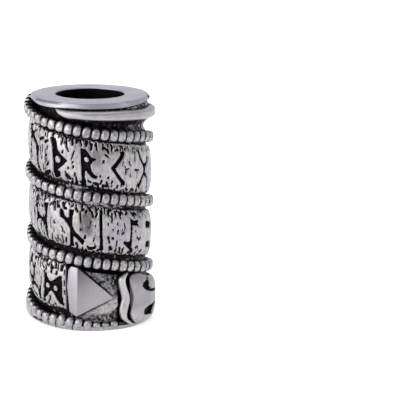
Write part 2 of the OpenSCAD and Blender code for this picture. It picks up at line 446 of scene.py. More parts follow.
# Runes of the common row. Outlines and strokes are in angle along the coil and millimetres up from the
# band's middle. A dot is angle, height, half width, half height.
runeOutlines = [
    # row 1: thorn, riding, torch
    [(229.5, 1.55), (232, 1.68), (235.6, 1.6), (237, 1.3), (238.4, 0.75), (241.5, 0.38), (248, 0.0), (243.5, -0.48),
     (239.6, -0.85), (238.2, -0.95), (238.2, -1.1), (240.8, -1.15), (240.8, -1.5), (238.5, -1.58), (237.6, -1.78),
     (234.4, -1.8), (233.4, -1.3), (233.2, 0), (232, 1.0)],
    [(261, 1.3), (265, 1.3), (268, 1.05), (270.5, 0.72), (275.2, 0.62), (272, 0.4), (269.8, 0.05), (270.5, -0.45),
     (273, -0.75), (276.4, -0.88), (275.5, -1.06), (271, -1.0), (268, -0.68), (266.3, -0.45), (264.6, -0.6),
     (264.4, -1.1), (265.8, -1.45), (265.6, -1.85), (261.2, -1.95), (262.2, -1.2), (261.8, -0.3), (261.5, 0.5)],
    [(300.4, 1.5), (302, 1.62), (304.2, 1.45), (302, 1.0), (297.5, 0.5), (293.3, 0.0), (296, -0.4), (300, -0.8),
     (304.4, -1.15), (304.2, -1.3), (302.5, -1.42), (300.4, -1.28), (297, -0.9), (292, -0.3), (289.2, 0.05),
     (291, 0.25), (295, 0.7), (299, 1.2)],
    # row 2: hail, need, ice, yew
    [(580.5, 1.15), (583, 1.35), (587, 1.42), (586, 0.7), (585.6, 0), (586.3, -1.0), (586.6, -1.6), (585.2, -1.85),
     (583.8, -1.6), (583, -1.0), (581.8, -0.6), (579, -0.35), (575, -0.25), (573, -0.35), (571.8, -0.2), (572, 0.35),
     (573.5, 0.15), (577, 0.0), (580, -0.1), (582.5, 0.1), (583, 0.5), (582.3, 0.9)],
    [(600.2, 1.2), (601.5, 1.35), (604, 1.25), (605.2, 0.85), (607.8, 0.68), (610.2, 0.75), (610.2, 1.45),
     (614.3, 1.5), (613.2, 1.0), (613, 0.1), (616, -0.4), (621, -0.8), (624.3, -1.05), (622.8, -1.4), (620.5, -1.2),
     (616.5, -0.85), (614, -0.75), (613.5, -1.3), (613.8, -1.7), (610.6, -1.7), (611, -0.9), (611, -0.15),
     (608.5, 0.25), (605, 0.55), (601.2, 0.68)],
    [(639.2, 1.85), (640.8, 1.85), (641, 1.5), (640.9, 0), (641.4, -1.0), (642, -1.7), (638.6, -1.65), (639, -0.8),
     (638.8, 0), (638.6, 1.0), (639, 1.5)],
    [(670.2, 1.5), (672, 1.25), (676, 1.12), (681.4, 1.2), (681, 0.9), (682.4, 0.6), (680, 0.75), (676.5, 0.78),
     (673.6, 0.8), (673.2, 0.2), (672.9, -0.8), (673.3, -1.4), (674.1, -1.85), (671.5, -1.5), (667, -1.2),
     (662.3, -0.85), (663.5, -0.7), (666.5, -0.8), (669.8, -0.72), (670.8, -0.2), (671, 0.5), (670.8, 1.1)],
    # row 3: day
    [(940.3, 0.85), (942, 0.92), (946, 0.5), (949, 0.22), (951.5, 0.22), (956, 0.6), (960.5, 1.0), (962.4, 0.95),
     (962.5, 0), (962.9, -0.75), (963.7, -0.95), (963.3, -1.5), (960.6, -1.58), (956.5, -1.15), (953, -0.7),
     (950.8, -0.58), (948.5, -0.72), (945, -1.15), (941, -1.55), (939.4, -1.5), (941.2, -1.0), (941.5, 0)],
]
runeStrokes = [
    # left side of row 1: cattle, ox. Right side: gift
    [(172, 1.6, 0.14), (171.5, -1.7, 0.13)],
    [(172, 1.2, 0.12), (178.5, 1.75, 0.1)],
    [(172, 0.2, 0.12), (178.5, 0.8, 0.1)],
    [(197, 0.9, 0.18), (199, -1.0, 0.17), (202, -1.7, 0.1)],
    [(195.5, 1.5, 0.28), (203, 1.0, 0.27), (208, 0.65, 0.22), (211, 0.3, 0.2)],
    [(211, 0.35, 0.2), (211.6, -0.6, 0.18), (212.6, -1.75, 0.2)],
    [(322.6, 1.65, 0.14), (324.5, 1.1, 0.15), (330.6, 0.35, 0.14)],
    [(339, 1.2, 0.17), (335.5, 0.75, 0.14), (331.5, 0.35, 0.15)],
    [(331, 0.4, 0.2), (331, -0.25, 0.18)],
    [(331, -0.2, 0.14), (326, -0.7, 0.13), (322.6, -1.35, 0.16)],
    [(331.6, -0.2, 0.15), (336, -0.65, 0.14), (339, -1.35, 0.17)],
    # left side of row 3: the one before day
    [(915.5, 1.35, 0.24), (908.5, -0.1, 0.3), (921.3, -0.67, 0.2)],
    [(915.5, 1.35, 0.24), (923.8, 0.4, 0.17), (921.3, -0.67, 0.17)],
    [(921.3, -0.67, 0.2), (915.5, -1.4, 0.22), (928, -1.8, 0.14)],
    [(921.3, -0.67, 0.18), (931, -0.95, 0.14), (935.2, -1.82, 0.14)],
    # right side of row 1: joy. Left side of row 2: the joint before hail
    [(362, 1.7, 0.15), (361.6, -1.7, 0.14)],
    [(362, 1.6, 0.12), (368.5, 0.95, 0.12), (362, 0.25, 0.12)],
    [(572.3, 1.6, 0.09), (571.3, 0.8, 0.09), (571.8, 0, 0.11), (570.8, -0.9, 0.07), (571, -1.8, 0.09)],
    # right side of row 2: the one after yew
    [(697.4, 0.8, 0.3), (705, 0.75, 0.22), (712, 1.5, 0.16)],
    [(697, -1.0, 0.27), (705, -0.95, 0.22), (712, -1.6, 0.16)],
    [(712, 1.55, 0.14), (712.3, -1.65, 0.14)],
]
hiddenRunes = {  # strokes of (x, y) in millimetres about a rune's own middle
    398: [[(0, 1.6), (0, -1.7)], [(0, 1.2), (0.7, 0.5)], [(0, 0.6), (0.7, -0.1)]],
    432: [[(-0.1, 1.5), (-0.75, 0.7), (-0.1, -0.1)], [(0.1, 0.1), (0.75, -0.7), (0.1, -1.5)]],
    466: [[(0, 1.6), (0, -1.7)], [(0, 1.1), (0.75, 1.7)], [(0, 1.1), (-0.75, 1.7)]],
    500: [[(0.55, 1.6), (-0.4, 0.6), (0.4, -0.3), (-0.5, -1.5)]],
    534: [[(0, 1.6), (0, -1.7)], [(0, 1.5), (0.75, 0.8)], [(0, 1.5), (-0.75, 0.8)]],
    742: [[(-0.4, 1.6), (-0.4, -1.7)], [(-0.4, 1.5), (0.5, 0.8), (-0.4, 0)], [(-0.4, 0), (0.55, -0.8), (-0.4, -1.6)]],
    777: [[(-0.65, 1.6), (-0.65, -1.7)], [(0.65, 1.4), (0.65, -1.8)], [(-0.65, 1.5), (0, 0.8), (0.65, 1.4)]],
    813: [[(-0.65, 1.7), (-0.65, -1.7)], [(0.65, 1.5), (0.65, -1.8)], [(-0.65, 1.5), (0.65, 0.2)],
          [(0.65, 1.4), (-0.65, 0.3)]],
    848: [[(-0.2, 1.7), (-0.2, -1.7)], [(-0.2, 1.6), (0.6, 0.8)]],
    882: [[(0, 1.3), (0.75, 0.1), (0, -1.1), (-0.75, 0.1), (0, 1.3)]],
}
runeDots = [
    (238.5, -0.1, 0.29, 0.34), (266.4, 0.47, 0.24, 0.25), (945.8, -0.27, 0.27, 0.26), (955.8, -0.25, 0.21, 0.27),
]

# Single cuts of the chased ground at the front: angle, height, angle, height, half width.
chasedMarks = [
    (205, 1.3, 206, 1.42, 0.14), (215.5, 1.05, 220.5, 1.3, 0.13), (223, 1.0, 227, 1.25, 0.11),
    (225.4, 0.45, 226.6, 0.75, 0.09), (225, -0.15, 225.6, 0.05, 0.08), (218.2, -0.55, 218.8, -0.35, 0.1),
    (225, -1.0, 228.5, -0.55, 0.07), (219.3, -1.6, 220.5, -1.0, 0.1), (222, -1.78, 229, -1.4, 0.17),
    (243, 1.8, 242.3, 1.3, 0.09), (247, 1.85, 247.4, 1.2, 0.1), (247.4, 1.2, 249.6, 0.85, 0.08),
    (252.8, 1.9, 253.3, 1.5, 0.11), (243.4, 0.62, 243.8, 0.78, 0.08), (255, 1.0, 252.3, 0.2, 0.05),
    (253.4, -0.05, 253.7, 0.05, 0.07), (253.8, -0.45, 254.2, -0.3, 0.09), (249, -0.65, 249.3, -0.5, 0.06),
    (247.6, -1.3, 250.5, -1.5, 0.19), (246.4, -1.0, 247.3, -1.15, 0.08), (255.3, -1.1, 255.8, -0.9, 0.09),
    (257, -1.8, 256.4, -1.2, 0.1), (266, 1.65, 266.8, 1.85, 0.1), (270.4, 1.4, 271.6, 1.85, 0.1),
    (275.4, 1.9, 276, 1.45, 0.09), (283, 1.7, 284.6, 1.6, 0.11), (286.3, 1.55, 287.2, 1.3, 0.11),
    (291, 1.85, 290.4, 1.5, 0.1), (293.4, 1.55, 297, 1.75, 0.08), (283.8, 1.12, 287, 0.95, 0.08),
    (283, 0.58, 281.3, 0.38, 0.06), (304, 0.25, 305, 0, 0.07), (305, 0, 304.4, -0.35, 0.09),
    (305.3, -0.02, 308.3, 0.12, 0.06), (309.4, 0.7, 310.3, 0.42, 0.07), (310, -0.55, 310.1, -0.4, 0.06),
    (316, 1.6, 315.4, 0.8, 0.08), (316, 0.02, 321, 0.05, 0.07), (318.9, 0.0, 318.5, -0.65, 0.06),
    (280.6, -1.2, 279.4, -1.5, 0.1), (275, -1.55, 277.5, -1.6, 0.14), (268, -1.4, 270.4, -1.5, 0.09),
    (283, -1.65, 286.4, -1.6, 0.13), (290.6, -1.15, 290.2, -1.35, 0.09), (296.3, -1.5, 295.4, -1.65, 0.09),
    (286.6, -0.85, 287.3, -0.78, 0.09), (279, -0.85, 279.3, -0.75, 0.06), (320.5, -1.1, 319, -1.9, 0.07),
    (560, 1.6, 561, 1.05, 0.12), (564.4, 1.75, 565, 1.25, 0.11), (569.4, 1.65, 570, 1.1, 0.1),
    (567.8, 1.25, 568.3, 1.4, 0.1), (592.3, 1.55, 592.8, 1.7, 0.11), (594.4, 1.75, 595, 1.1, 0.09),
    (597, 1.85, 597.6, 1.4, 0.1), (590.4, 1.55, 589, 1.3, 0.08), (603.4, 1.85, 605, 1.5, 0.13),
    (605, 1.5, 606.8, 1.5, 0.11), (616.4, 1.65, 618, 1.45, 0.11), (620.4, 1.5, 621.1, 0.5, 0.055),
    (620.8, -0.15, 621.2, -0.05, 0.07), (624.8, -0.8, 625.3, -0.6, 0.1), (591.2, 0.35, 590.3, -0.2, 0.05),
    (590.3, -0.2, 591, -0.65, 0.05), (594.3, 0.0, 594.7, 0.15, 0.08), (603.4, -0.6, 603.6, -0.3, 0.05),
    (591, -1.6, 592, -1.1, 0.08), (595, -1.4, 596.2, -1.75, 0.08), (598.1, -1.1, 597.4, -1.65, 0.08),
    (603, -1.0, 604.2, -1.55, 0.08), (607, -1.1, 606.4, -1.55, 0.07), (626, 1.45, 626.6, 1.65, 0.11),
    (631.4, 1.55, 632.4, 1.15, 0.1), (635, 1.2, 636.6, 1.55, 0.09), (630.3, 0.62, 630.7, 0.78, 0.07),
    (633, -0.95, 633.6, -0.6, 0.06), (630, -1.7, 634, -1.55, 0.15), (647, 1.85, 646.8, 1.5, 0.09),
    (651, 1.65, 650.6, 0.9, 0.09), (654.4, 1.8, 654.9, 1.4, 0.09), (658, 1.85, 659.4, 1.3, 0.08),
    (663.5, 0.9, 664.4, 0.5, 0.06), (664.4, 0.5, 663, 0.1, 0.06), (663, 0.1, 661.4, -0.05, 0.07),
    (656.4, 0.78, 656.8, 0.95, 0.08), (646.8, 0.65, 647.2, 0.78, 0.08), (651.4, 0.22, 651.7, 0.3, 0.06),
    (657.1, 0.2, 656.5, -0.05, 0.07), (646.8, -0.45, 648, -0.9, 0.09), (651, -0.5, 652, -0.48, 0.1),
    (655.6, -0.75, 654.8, -1.25, 0.08), (648.6, -1.35, 650.2, -1.5, 0.15), (658.8, -1.75, 658.4, -1.3, 0.11),
    (663, -1.3, 662.3, -1.75, 0.08), (665.8, 1.68, 667.6, 1.82, 0.1), (677, 1.82, 679, 1.68, 0.12),
    (685, 1.5, 685.8, 1.55, 0.09), (679.3, -0.3, 681.8, -0.52, 0.08), (681.8, -0.52, 684.2, -0.28, 0.07),
    (678, -1.25, 681, -1.1, 0.09), (681, -1.1, 682, -1.45, 0.08), (918, 1.5, 919, 0.9, 0.12),
    (924, 1.5, 925, 0.7, 0.1), (930, 1.7, 930.6, 1.1, 0.1), (935, 1.75, 934.6, 1.3, 0.09),
    (944, 1.15, 944.3, 1.35, 0.11), (950.4, 1.6, 950.8, 1.0, 0.12), (955, 1.6, 955.2, 1.85, 0.12),
    (956.4, 1.05, 956.8, 1.25, 0.12), (961.4, 1.9, 961.6, 1.5, 0.1), (947, 1.5, 947.6, 1.75, 0.08),
    (934.6, 0.65, 933.8, 0.25, 0.055), (927, -0.75, 927.4, -0.65, 0.11), (949.2, -1.15, 948.2, -1.55, 0.1),
    (965.2, 1.6, 965.4, 1.2, 0.06), (965.3, 0.7, 965.1, 0.2, 0.05), (965.3, -0.2, 965.6, -0.5, 0.05),
]


# Presses a mark into the cuts, only where it reaches.
def press(cuts, angles, heights, distance, reach, depth, soft):
    west, east, south, north = reach
    cols = slice(*np.searchsorted(angles, (west, east)))
    rows = slice(*np.searchsorted(heights, (south, north)))
    if cols.start == cols.stop or rows.start == rows.stop:
        return
    x, y = np.meshgrid(angles[cols] * coil["arc"], heights[rows], indexing="ij")
    uneven = 0.018 * ripple(x * 4.3, y * 4.3, 5)
    cut = depth * soften(-(distance(x, y) + uneven), -soft, soft)
    cuts[cols, rows] = np.maximum(cuts[cols, rows], cut)


def reachOf(points, spare=0.45):
    xs, ys = [p[0] for p in points], [p[1] for p in points]
    return min(xs) - spare / coil["arc"], max(xs) + spare / coil["arc"], min(ys) - spare, max(ys) + spare


# The large signs, cut into a height field of the band. Dots stand up in them.
def cutRunes(about, angles, heights):
    arc = coil["arc"]
    cuts = np.zeros((len(angles), len(heights)))
    strokes = list(runeStrokes)
    for middle, lines in hiddenRunes.items():
        strokes += [[(middle + x / arc, y, about["runeLine"]) for x, y in line] for line in lines]
    for outline in runeOutlines:
        corners = [(a * arc, h) for a, h in outline]
        press(cuts, angles, heights, lambda x, y: outsideOutline(x, y, corners),
              reachOf(outline), about["runeDepth"], about["runeSoft"])
    for stroke in strokes:
        points = [(a * arc, h, w) for a, h, w in stroke]
        press(cuts, angles, heights, lambda x, y: outsideStroke(x, y, points),
              reachOf(stroke), about["runeDepth"], about["runeSoft"])
    x, y = np.meshgrid(angles * arc, heights, indexing="ij")
    for angle, height, halfX, halfY in runeDots:
        cuts *= 1 - soften(-(np.hypot((x - angle * arc) / halfX, (y - height) / halfY) - 1), -0.2, 0.2)
    return cuts


# Places along the band, one after another at uneven gaps.
def strewn(about, dice, gap, least, most):
    s = about["start"] * coil["arc"]
    while s < about["end"] * coil["arc"]:
        s += gap * dice.uniform(least, most)
        yield s


# The small cuts of the ground: angle, height, angle, height, and the half width at each end.
def scatterMarks(about, angles, heights, lettered):
    arc, near = coil["arc"], 5
    dice = np.random.RandomState(23)
    marks = [(a, h, b, k, w, w * 0.75) for a, h, b, k, w in chasedMarks]
    for side, gap in about["fringe"]:  # cuts that hang from the upper edge and rise from the lower one
        for s in strewn(about, dice, gap, 0.45, 1.9):
            deep, wide = 0.1 + 0.5 * dice.rand() ** 2.2, dice.uniform(0.045, 0.1)
            end = (s + dice.uniform(-0.12, 0.12)) / arc
            marks.append((s / arc, side * 2.0, end, side * (1.98 - deep), wide, wide * 0.75))
    for side, gap in about["pits"]:  # pits beside the edges
        for s in strewn(about, dice, gap, 0.4, 1.8):
            height, wide = side * dice.uniform(1.45, 1.86), dice.uniform(0.06, 0.12)
            end = (s + dice.uniform(-0.1, 0.1)) / arc
            marks.append((s / arc, height, end, height + dice.uniform(0.02, 0.2), wide, wide * 0.8))
    for _ in range(int((about["end"] - about["start"]) * arc * about["loose"])):  # loose cuts clear of the signs
        angle, height = dice.uniform(about["start"], about["end"]), dice.uniform(-1.6, 1.6)
        long, wide = 0.08 + 0.5 * dice.rand() ** 2.5, dice.uniform(0.025, 0.05)
        i, j = np.searchsorted(angles, angle), np.searchsorted(heights, height)
        if lettered[max(0, i - near):i + near + 1, max(0, j - near):j + near + 1].max() < 0.05:
            marks.append((angle, height, angle + dice.uniform(-0.12, 0.12) / arc, height + long, wide, wide * 0.6))
    for row in (0, 360, 720):  # long upright cuts round the left side, wider where they are seen edge on
        for at in np.arange(*about["upright"]):
            angle, height = row + at + dice.uniform(-1.2, 1.2), dice.uniform(-1.2, 1.5)
            long, wide = dice.uniform(0.6, 1.8), dice.uniform(0.04, 0.065)
            wide /= max(0.3, math.sin(math.radians(at - 176)))
            marks.append((angle, height, angle + dice.uniform(-2, 2), max(-1.9, height - long), wide, wide * 0.5))
    for low, high, count in about["worn"]:  # pits of the left side's upper parts
        for _ in range(count):
            angle, height, wide = dice.uniform(low, high), dice.uniform(0.7, 1.9), dice.uniform(0.05, 0.1)
            end, top = angle + dice.uniform(-1.5, 1.5), height + dice.uniform(-0.25, 0.25)
            marks.append((angle, height, end, top, wide, wide * 0.7))
    return marks


def chaseBand(about, angles, heights):
    arc = coil["arc"]
    cuts = cutRunes(about, angles, heights)
    for a, h, b, k, w, v in scatterMarks(about, angles, heights, cuts.copy()):
        points = [(a * arc, h, w), (b * arc, k, v)]
        press(cuts, angles, heights, lambda x, y: outsideStroke(x, y, points),
              reachOf([(a, h), (b, k)]), about["markDepth"], about["markSoft"])
    return cuts


# Radius and blackness of the body at an angle and a height off its middle line.
def bodyRelief(about, angle, height, half, crown, cuts, rough, bow):
    x = angle * coil["arc"]
    sway = ripple(x * 0.9 + 3, height * 0.8, 31) * 0.35
    bark = ripple((x + sway) * 1.9, height * 0.55 + 7, 3)
    fibre = ripple((x + sway * 0.6) * 4.6, height * 1.1, 8)
    hammer = ripple(x * 9, height * 7, 9)
    ragged = (about["edgeBark"] * ripple(x * 2.3, height * 0.2 + 40, 12)
              + about["edgeFibre"] * ripple(x * 6.1, height * 0.2 + 9, 13))
    inward = half + rough * ragged - np.abs(height)
    t = np.clip(np.abs(height) / half, 0, 1)
    edge = np.minimum(about["edge"], crown - 0.1)
    radius = edge + (crown - edge) * np.sqrt(1 - t ** bow)
    radius = radius + rough * (about["bark"] * bark + about["fibre"] * fibre + about["hammer"] * hammer) - cuts
    fall = soften(-inward, -0.07, 0.07)
    radius = radius * (1 - fall) + about["ground"] * fall
    hollow = rough * (0.5 * soften(-bark, 0.15, 0.9) + 0.3 * soften(-fibre, 0.2, 0.9))
    smear = sum(amount * np.exp(-((angle - at) / wide) ** 2) * (side * height > 0)
                for at, wide, amount, side in about["smears"])
    ground = soften(-inward, -0.1, 0.02) * (about["tone"] - smear - about["pitted"] * ripple(x * 6, height * 6, 21))
    # painted shadow: round the left side the upper edge is dark under the wire
    paintedShadow = soften(height, half - 0.32, half - 0.14) * straight(angle, about["under"])
    paintedShadow = paintedShadow * (0.7 + 0.45 * hammer)
    black = np.maximum(np.maximum(soften(cuts, 0.03, 0.12), paintedShadow), np.maximum(ground, 0.5 * hollow))
    for at, wide, level, tall, amount in about["dull"]:  # painted dark reflections between two runes
        black = np.maximum(black, amount * np.exp(-((angle - at) / wide) ** 4 - ((height - level) / tall) ** 4))
    return radius, np.clip(black, 0, 1)


def makeBody(about):
    arc = coil["arc"]
    reach = about["half"] + about["margin"]
    heights = evenly(-reach, reach, about["step"])
    start, end = about["start"], about["end"]
    angles = evenly(start, end, about["step"], arc)
    cuts = chaseBand(about, angles - about["onward"], heights)
    lowered = straight(angles, about["lowered"])
    cuts = np.stack([np.interp(heights + low, heights, line) for low, line in zip(lowered, cuts)])
    angle, height = np.meshgrid(angles, heights, indexing="ij")
    ones = np.ones_like(angle)
    half = about["half"] + straight(angle, about["wider"])
    half = half + (height < 0) * straight(angle, about["widerBelow"])
    radius, black = bodyRelief(about, angle, height, half, about["crown"] * ones, cuts, ones, about["bow"])
    surface = polar(angle, radius, bandZ(angle) + height)
    names = "runeBandTop", "runeBandMiddle", "runeBandFoot"
    for name, first, last in zip(names, about["cuts"], about["cuts"][1:]):
        part = slice(np.searchsorted(angles, first), np.searchsorted(angles, last) + 1)
        reliefPiece(name, surface[part], black[part], castSteel)
    # the tail
    angles = np.linspace(about["tail"][0][0], start, 300)
    upper, lower, crown = [flow(angles, about["tail"], k)[:, None] for k in (1, 2, 3)]
    upper[-1], lower[-1] = bandZ(start) + about["half"], bandZ(start) - about["half"]
    middle, half = (upper + lower) / 2, (upper - lower) / 2
    share = np.linspace(-1, 1, 61)[None, :]
    margin = np.minimum(about["tailMargin"], half)
    height = share * (half + margin)
    ones = np.ones_like(height)
    rough, angle = soften(angles, about["roughFrom"], start)[:, None] * ones, angles[:, None] * ones
    bow = about["bow"] + (about["tailBow"] - about["bow"]) * (1 - soften(angle, *about["bowFades"]))
    at, wide = about["creaseAt"]
    begins, whole, fades, ends = about["creased"]
    creased = about["crease"] * np.exp(-((share - at) / wide) ** 2)
    creased = creased * soften(angle, begins, whole) * (1 - soften(angle, fades, ends))
    radius, black = bodyRelief(about, angle, height, half * ones, crown * ones, creased, rough, bow)
    # its upper edge is dark in the corner under the rim
    black = np.maximum(black, 0.9 * soften(share, 0.7, 0.84) * soften(angle, -80, -40) * (1 - soften(angle, 30, 80)))
    reliefPiece("tail", polar(angle, radius, np.minimum(middle + height, about["ceiling"])), black, tailSteel)


makeBody(body)


# The beaded wire: a black core that shows in the joints, and its grains. Drift is angle, rise, slide is angle,
# degrees onward, and swell is angle, push outwards. Rows are the last grains at the foot: angle, top z, share
# of length, share of height. Toothed is the left side's angle, and how far from it the teeth end and are whole.
# Closer is the angles over which the joints come nearer to a grain's middle.
wire = {
    "start": 136, "end": 1379, "footFrom": 1262, "gap": 8.58, "phase": 266.6, "centre": 5.12, "ceiling": 19.9,
    "halfLong": 0.402, "halfOut": 0.56, "halfHigh": 0.51, "core": 0.4,
    "square": 0.8, "lean": 0.12, "faceFrom": 0.66, "facePress": 0.5, "taper": 0.3, "toothed": (198, 52, 26),
    "closer": (292, 340),
    "drift": [(136, 0), (180, -0.08), (200, -0.11), (212, -0.12), (222, -0.18), (232, -0.18), (241, -0.18),
              (252, -0.21), (262, -0.18), (272, -0.2), (283, -0.15), (300, -0.1), (312, -0.06), (322, 0), (332, 0.05),
              (360, 0.02), (400, -0.03), (420, -0.04), (550, -0.09), (560, -0.1), (572, -0.1), (582, -0.11),
              (592, -0.1), (602, -0.09), (611, -0.1), (619, -0.08), (632, -0.07), (642, -0.03), (652, 0.01),
              (660, 0.01), (672, 0), (682, -0.01), (692, -0.03), (720, -0.02), (760, 0), (905, -0.08), (920, -0.12),
              (932, -0.14), (942, -0.17), (952, -0.17), (962, -0.16), (971, -0.15), (979, -0.18), (992, -0.14),
              (1002, -0.12), (1012, -0.13), (1021, -0.12), (1032, -0.16), (1042, -0.17), (1052, -0.17), (1080, -0.11),
              (1150, -0.04), (1235, -0.09), (1262, -0.14), (1320, -0.1)],
    "slide": [(136, 0), (590, 0), (640, 0.3), (690, 0.5), (760, 0.1), (930, 0), (970, 0.2), (1000, 0.7), (1055, 0.95),
              (1150, 0.2), (1240, 0)],
    "swell": [(136, 0), (162, 0.12), (182, 0.22), (205, 0.14), (230, 0), (500, 0), (535, 0.1), (560, 0.08), (590, 0),
              (860, 0), (895, 0.01), (930, 0.02), (955, 0), (1240, 0), (1265, 0.06), (1295, 0.12), (1325, 0),
              (1379, 0)],
    "rows": [(1262, 2.3, 1, 1), (1290, 1.69, 1, 1.05), (1300, 1.55, 1, 1.13), (1306, 1.48, 1, 1.17),
             (1315, 1.4, 1, 1.22), (1323, 1.34, 1, 1.25), (1332, 1.19, 1, 1.15), (1340, 1.13, 0.98, 1.08),
             (1348, 0.95, 0.96, 0.82), (1356, 0.74, 0.94, 0.6), (1365, 0.69, 0.94, 0.55), (1373, 0.8, 0.98, 0.68),
             (1379, 0.62, 0.8, 0.5)],
}


def wirePath(about, angle):
    foot = angle >= about["footFrom"]
    grown = np.minimum(1, 0.35 + (angle - about["start"]) / 24)
    long = np.where(foot, flow(angle, about["rows"], 2), grown)
    tall = np.where(foot, flow(angle, about["rows"], 3), grown)
    above = wireZ(angle) + flow(angle, about["drift"])
    middle = np.where(foot, flow(angle, about["rows"]) - about["halfHigh"] * tall, above)
    return long, tall, np.minimum(middle, about["ceiling"] - about["halfHigh"] * tall)


def makeWire(about):
    angles = np.linspace(about["start"], about["end"], 700)
    long, tall, middle = wirePath(about, angles)
    ring = np.radians(np.linspace(0, 360, 13))[None, :]
    core = about["core"] * np.minimum(1, tall)[:, None]
    out, up = about["centre"] - 0.05 + core * np.cos(ring), middle[:, None] + core * np.sin(ring)
    places = polar(angles[:, None], out, up)
    skinPiece("wireCore", places, np.ones(places.shape[:2]), castSteel)
    bm = bmesh.new()
    patina = bm.verts.layers.float.new("patina")
    dice = np.random.RandomState(4)
    side, reach, full = about["toothed"]
    first = math.ceil((about["start"] + 3 - about["phase"]) / about["gap"])
    last = math.floor((about["end"] - about["phase"]) / about["gap"])
    for k in range(first, last + 1):
        angle = about["phase"] + about["gap"] * k
        angle += straight(angle, about["slide"])
        long, tall, middle = (float(x) for x in wirePath(about, np.array(angle)))
        centre = about["centre"] + straight(angle, about["swell"])
        made = bmesh.ops.create_uvsphere(bm, u_segments=12, v_segments=8, radius=1)["verts"]
        turn = math.radians(angle)
        out = Vector((math.cos(turn), math.sin(turn), 0))
        fall = coil["pitch"] / (2 * math.pi * about["centre"])
        along = Vector((-math.sin(turn), math.cos(turn), -fall)).normalized()
        up = out.cross(along).normalized()
        long *= dice.uniform(0.96, 1.04)
        tall *= dice.uniform(0.95, 1.04)
        deep = dice.uniform(0.96, 1.02) * min(1, 0.3 + 0.7 * tall)
        paintedDarkReflection = 0.18 if angle < 720 and abs(angle % 360 - 268) < 16 else 0  # painted dark reflection on the grain faces in the middle of the upper two rows
        worn = dice.uniform(0.22, 0.34) + paintedDarkReflection
        flat = dice.uniform(-0.5, 0.5), dice.uniform(-0.4, 0.6)
        # round the left side the grains lean like teeth, with black between their tops
        toothed = 0.25 + 0.75 * float(soften(-abs((angle % 360) - side), -reach, -full))
        joined = 0.78 - 0.15 * float(soften(angle % 360, *about["closer"]))
        for v in made:
            # the ball's pole points outwards, and its sides are pressed towards a rounded square
            x, z, y = v.co
            x, y, z = (math.copysign(abs(c) ** about["square"], c) for c in (x, y, z))
            y = min(y, about["faceFrom"] + (y - about["faceFrom"]) * about["facePress"])
            y -= 0.05 * (x * flat[0] + z * flat[1])
            x *= 1 - about["taper"] * toothed * max(0, z)
            x += about["lean"] * z * (1 - abs(x))
            joint = soften(np.array(abs(x)), joined - 0.16 * toothed * max(0, z), joined + 0.2)
            root = soften(np.array(-y), -0.3, 0.3)
            crest = toothed * soften(np.array(z), 0.48, 0.92)
            # the flat face's middle is darker: random wear plus painted dark reflection
            face = worn * (1 - soften(np.array(math.hypot(x, z)), 0.4, 0.75))
            v[patina] = float(max(joint, root, crest, face))
            v.co = (out * (centre + about["halfOut"] * deep * y) + along * (about["halfLong"] * long * x)
                    + up * (about["halfHigh"] * tall * z) + Vector((0, 0, middle))) * mm
    for face in bm.faces:
        face.smooth = True
    bmesh.ops.recalc_face_normals(bm, faces=bm.faces)
    showPiece(bm, "wireGrains", grainSteel)


makeWire(wire)


# Dark hollows: the cove between the tail and the first pass of the wire, the neck between rim and tail, and the
# shoulder between the head and the wire above it.
hollows = {
    "cove": {"from": 240, "to": 432, "upper": 5.4, "waist": 4.64, "lower": 5.2, "bend": 1.7,
             "pebble": 0.04, "tone": 0.72, "light": (305, 340, 0.03)},
    "neck": {"from": 272, "to": 400, "upper": 5.06, "waist": 5.0, "lower": 5.1, "bend": 2,
             "pebble": 0.05, "tone": 0.92, "light": (285, 310, 0.24)},
    "shoulder": {"from": 312, "to": 420, "upper": 5.04, "waist": 5.0, "lower": 5.0, "bend": 2,
                 "pebble": 0.03, "tone": 0.95, "light": (420, 430, 0)},
}


def makeHollow(name, about, below, above):
    angles = np.linspace(about["from"], about["to"], 300)[:, None]
    share = np.linspace(0, 1, 25)[None, :]
    low, high = below(angles), above(angles)
    side = np.where(share > 0.5, about["upper"], about["lower"])
    x = angles * coil["arc"]
    pebble = ripple(x * 4, share * 6, 17) * 0.6 + ripple(x * 9, share * 12, 18) * 0.4
    radius = about["waist"] + (side - about["waist"]) * np.abs(2 * share - 1) ** about["bend"]
    radius = radius + about["pebble"] * pebble
    first, last, amount = about["light"]
    light = soften(angles, first, last) * soften(np.sin(share * np.pi), 0.2, 0.8)
    black = np.clip(about["tone"] - 0.25 * pebble - light * (amount + 0.3 * pebble), 0, 1)
    reliefPiece(name, polar(angles, radius, low + share * (high - low)), black, castSteel)


makeHollow("cove", hollows["cove"], lambda a: wireZ(a) + 0.2, lambda a: flow(a - 360, body["tail"], 2) + 0.1)
makeHollow("neck", hollows["neck"],
           lambda a: flow(a - 360, body["tail"]) - 0.06, lambda a: flow(a, sleeve["underside"]) + 0.03)


# Smooth foot under the wire's last pass, whose grains run into it. Top is angle, z, and edges are
# angle, radius at the bottom, height of the rounding, radius above it. The slit is angle, half width, z, half height.
# Grooves between the grains deepen over the angles of grooved, and are gone over those of bare.
foot = {
    "from": 100, "to": 316, "lip": 0.28, "joint": 0.11, "jointHalf": 0.065, "longJoints": (228, 236.6, 253.7),
    "slit": (212, 10.5, 0.45, 0.13), "slitDeep": 0.22, "grooved": (130, 170), "bare": (250, 264),
    "top": [(100, 0.5), (125, 0.55), (145, 1.1), (165, 1.6), (182, 1.65), (200, 1.4), (215, 1.2), (228, 1.05),
            (240, 0.9), (250, 0.74), (258, 0.55), (265, 0.47), (290, 0.43), (316, 0.36)],
    "edges": [(100, 5.16, 0.2, 5.3), (150, 5.0, 0.5, 5.45), (175, 4.85, 0.85, 5.64), (192, 4.73, 0.9, 5.68),
              (208, 4.68, 0.85, 5.58), (218, 4.7, 0.7, 5.5), (231, 4.88, 0.5, 5.48), (242, 5.02, 0.36, 5.48),
              (255, 5.26, 0.17, 5.48), (265, 5.32, 0.14, 5.48), (316, 5.3, 0.14, 5.48)],
}


